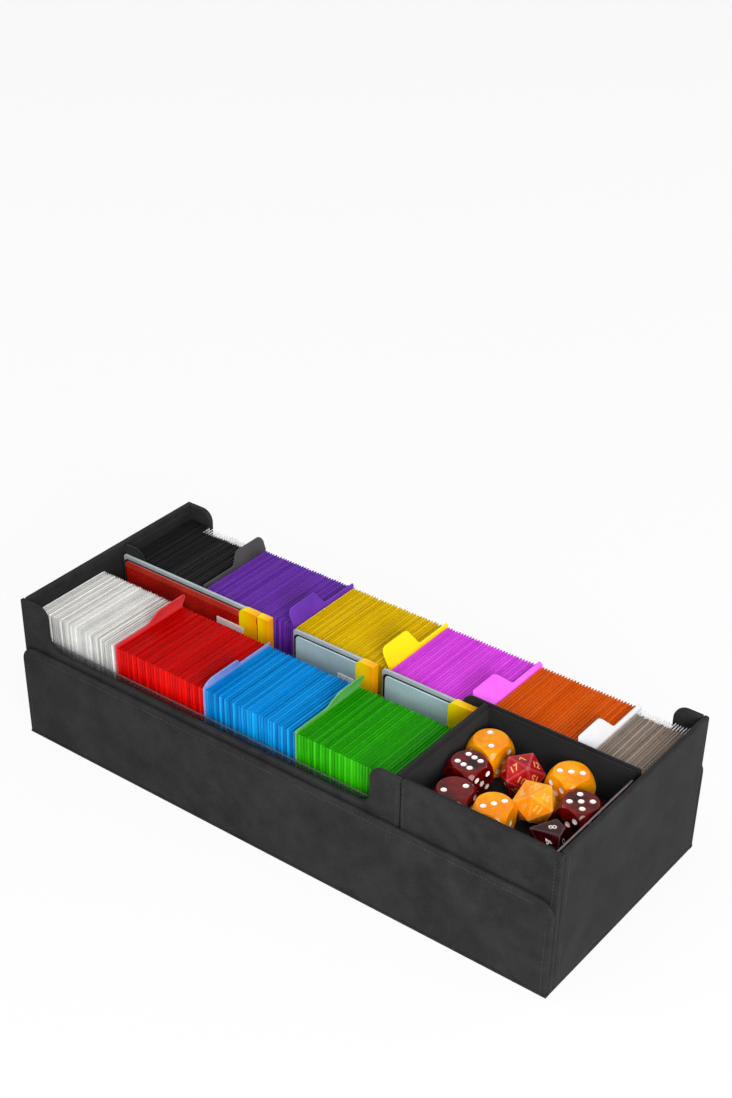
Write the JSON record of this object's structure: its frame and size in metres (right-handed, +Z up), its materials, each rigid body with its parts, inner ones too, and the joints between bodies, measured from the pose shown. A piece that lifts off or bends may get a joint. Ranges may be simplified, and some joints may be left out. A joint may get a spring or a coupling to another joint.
{
  "type": "card storage box",
  "caption": "Long black wrapped-board card box with coloured sleeved card rows, tabbed dividers and a dice tray, standing in its folding cover.",
  "frame": {"origin": "bottom centre of the cover's underside, where the object rests", "axes": "+X along the box towards the dice tray, +Y to the back, +Z up"},
  "size_m": [0.432, 0.1784, 0.1123],
  "materials": {
    "black_wrap": "soft nubuck-like wrap",
    "black_lining": "smooth microfibre",
    "clear_plastic": "clear sheet",
    "magnet_steel": "nickel plated",
    "orange_resin": "polished",
    "garnet_resin": "polished",
    "red_resin": "polished",
    "red_pack_film": "film",
    "grey_pack_film": "film",
    "orange_card": "coated card",
    "white_sleeves": "cards in matt sleeves",
    "red_sleeves": "cards in matt sleeves",
    "blue_sleeves": "cards in matt sleeves",
    "green_sleeves": "cards in matt sleeves",
    "black_sleeves": "cards in matt sleeves",
    "purple_sleeves": "cards in matt sleeves",
    "yellow_sleeves": "cards in matt sleeves",
    "pink_sleeves": "cards in matt sleeves",
    "orange_sleeves": "cards in matt sleeves",
    "clear_sleeves": "cards in matt sleeves",
    "red_sheet": "frosted sheet",
    "blue_sheet": "frosted sheet",
    "green_sheet": "frosted sheet",
    "black_sheet": "frosted sheet",
    "purple_sheet": "frosted sheet",
    "yellow_sheet": "frosted sheet",
    "pink_sheet": "frosted sheet",
    "white_sheet": "frosted sheet"
  },
  "bodies": {
    "cover": {"cover_base_panel": "black_wrap", "front_fold_strip": "black_wrap", "back_fold_strip": "black_wrap"},
    "front_flap": {"front_flap_board": "black_wrap", "front_flap_magnets": "magnet_steel"},
    "back_flap": {"back_flap_board": "black_wrap", "back_flap_magnets": "magnet_steel"},
    "box": {"box_floor": "black_lining", "front_wall": "black_wrap", "back_wall": "black_wrap", "bay_front_panel": "black_wrap", "left_end_wall": "black_wrap", "right_end_wall": "black_wrap", "left_end_lining": "black_lining", "right_end_lining": "black_lining", "front_clear_pane": "clear_plastic", "back_clear_pane": "clear_plastic", "partition_wall": "black_lining", "bay_cross_wall": "black_lining", "bay_left_riser": "black_lining", "bay_right_riser": "black_lining", "front_keeper_plates": "magnet_steel", "back_keeper_plates": "magnet_steel"},
    "accessory_tray": {"tray_floor": "black_lining", "tray_left_wall": "black_lining", "tray_front_wall": "black_lining", "tray_back_wall": "black_lining", "tray_clear_pane": "clear_plastic", "orange_dice": "orange_resin", "garnet_dice": "garnet_resin", "red_twenty_sided_die": "red_resin", "orange_twenty_sided_die": "orange_resin", "dark_ten_sided_die": "garnet_resin"},
    "white_cards": {"white_card_stack": "white_sleeves"},
    "red_cards": {"red_card_stack": "red_sleeves"},
    "blue_cards": {"blue_card_stack": "blue_sleeves"},
    "green_cards": {"green_card_stack": "green_sleeves"},
    "red_tab_divider": {"red_divider": "red_sheet"},
    "blue_tab_divider": {"blue_divider": "blue_sheet"},
    "green_tab_divider": {"green_divider": "green_sheet"},
    "black_cards": {"black_card_stack": "black_sleeves"},
    "purple_cards": {"purple_card_stack": "purple_sleeves"},
    "yellow_cards": {"yellow_card_stack": "yellow_sleeves"},
    "pink_cards": {"pink_card_stack": "pink_sleeves"},
    "orange_cards": {"orange_card_stack": "orange_sleeves"},
    "clear_cards": {"clear_card_stack": "clear_sleeves"},
    "black_tab_divider": {"black_divider": "black_sheet"},
    "purple_tab_divider": {"purple_divider": "purple_sheet"},
    "yellow_tab_divider": {"yellow_divider": "yellow_sheet"},
    "pink_tab_divider": {"pink_divider": "pink_sheet"},
    "white_tab_divider": {"white_divider": "white_sheet"},
    "red_pack": {"red_sleeve_pack": "red_pack_film", "red_pack_band": "orange_card"},
    "first_grey_pack": {"first_grey_sleeve_pack": "grey_pack_film", "first_grey_pack_band": "orange_card"},
    "second_grey_pack": {"second_grey_sleeve_pack": "grey_pack_film", "second_grey_pack_band": "orange_card"}
  },
  "joints": [
    {"name": "front_flap_hinge", "type": "hinge", "parent": "cover", "child": "front_flap", "pos_m": [0, -0.088, 0.0012], "axis": [1, 0, 0], "range_deg": [0, 90]},
    {"name": "back_flap_hinge", "type": "hinge", "parent": "cover", "child": "back_flap", "pos_m": [0, 0.088, 0.0012], "axis": [-1, 0, 0], "range_deg": [0, 90]},
    {"name": "box_lift", "type": "slide", "parent": "cover", "child": "box", "axis": [0, 0, 1], "range_m": [0, 0.12]},
    {"name": "tray_lift", "type": "slide", "parent": "box", "child": "accessory_tray", "axis": [0, 0, 1], "range_m": [0, 0.06]},
    {"name": "white_cards_lift", "type": "slide", "parent": "box", "child": "white_cards", "axis": [0, 0, 1], "range_m": [0, 0.105]},
    {"name": "red_cards_lift", "type": "slide", "parent": "box", "child": "red_cards", "axis": [0, 0, 1], "range_m": [0, 0.105]},
    {"name": "blue_cards_lift", "type": "slide", "parent": "box", "child": "blue_cards", "axis": [0, 0, 1], "range_m": [0, 0.105]},
    {"name": "green_cards_lift", "type": "slide", "parent": "box", "child": "green_cards", "axis": [0, 0, 1], "range_m": [0, 0.105]},
    {"name": "red_tab_divider_lift", "type": "slide", "parent": "red_cards", "child": "red_tab_divider", "axis": [0, 0, 1], "range_m": [0, 0.105]},
    {"name": "blue_tab_divider_lift", "type": "slide", "parent": "blue_cards", "child": "blue_tab_divider", "axis": [0, 0, 1], "range_m": [0, 0.105]},
    {"name": "green_tab_divider_lift", "type": "slide", "parent": "green_cards", "child": "green_tab_divider", "axis": [0, 0, 1], "range_m": [0, 0.105]},
    {"name": "black_cards_lift", "type": "slide", "parent": "box", "child": "black_cards", "axis": [0, 0, 1], "range_m": [0, 0.105]},
    {"name": "purple_cards_lift", "type": "slide", "parent": "box", "child": "purple_cards", "axis": [0, 0, 1], "range_m": [0, 0.105]},
    {"name": "yellow_cards_lift", "type": "slide", "parent": "box", "child": "yellow_cards", "axis": [0, 0, 1], "range_m": [0, 0.105]},
    {"name": "pink_cards_lift", "type": "slide", "parent": "box", "child": "pink_cards", "axis": [0, 0, 1], "range_m": [0, 0.105]},
    {"name": "orange_cards_lift", "type": "slide", "parent": "box", "child": "orange_cards", "axis": [0, 0, 1], "range_m": [0, 0.105]},
    {"name": "clear_cards_lift", "type": "slide", "parent": "box", "child": "clear_cards", "axis": [0, 0, 1], "range_m": [0, 0.105]},
    {"name": "black_tab_divider_lift", "type": "slide", "parent": "black_cards", "child": "black_tab_divider", "axis": [0, 0, 1], "range_m": [0, 0.105]},
    {"name": "purple_tab_divider_lift", "type": "slide", "parent": "purple_cards", "child": "purple_tab_divider", "axis": [0, 0, 1], "range_m": [0, 0.105]},
    {"name": "yellow_tab_divider_lift", "type": "slide", "parent": "yellow_cards", "child": "yellow_tab_divider", "axis": [0, 0, 1], "range_m": [0, 0.105]},
    {"name": "pink_tab_divider_lift", "type": "slide", "parent": "pink_cards", "child": "pink_tab_divider", "axis": [0, 0, 1], "range_m": [0, 0.105]},
    {"name": "white_tab_divider_lift", "type": "slide", "parent": "orange_cards", "child": "white_tab_divider", "axis": [0, 0, 1], "range_m": [0, 0.105]},
    {"name": "red_pack_lift", "type": "slide", "parent": "box", "child": "red_pack", "axis": [0, 0, 1], "range_m": [0, 0.105]},
    {"name": "first_grey_pack_lift", "type": "slide", "parent": "box", "child": "first_grey_pack", "axis": [0, 0, 1], "range_m": [0, 0.105]},
    {"name": "second_grey_pack_lift", "type": "slide", "parent": "box", "child": "second_grey_pack", "axis": [0, 0, 1], "range_m": [0, 0.105]}
  ]
}
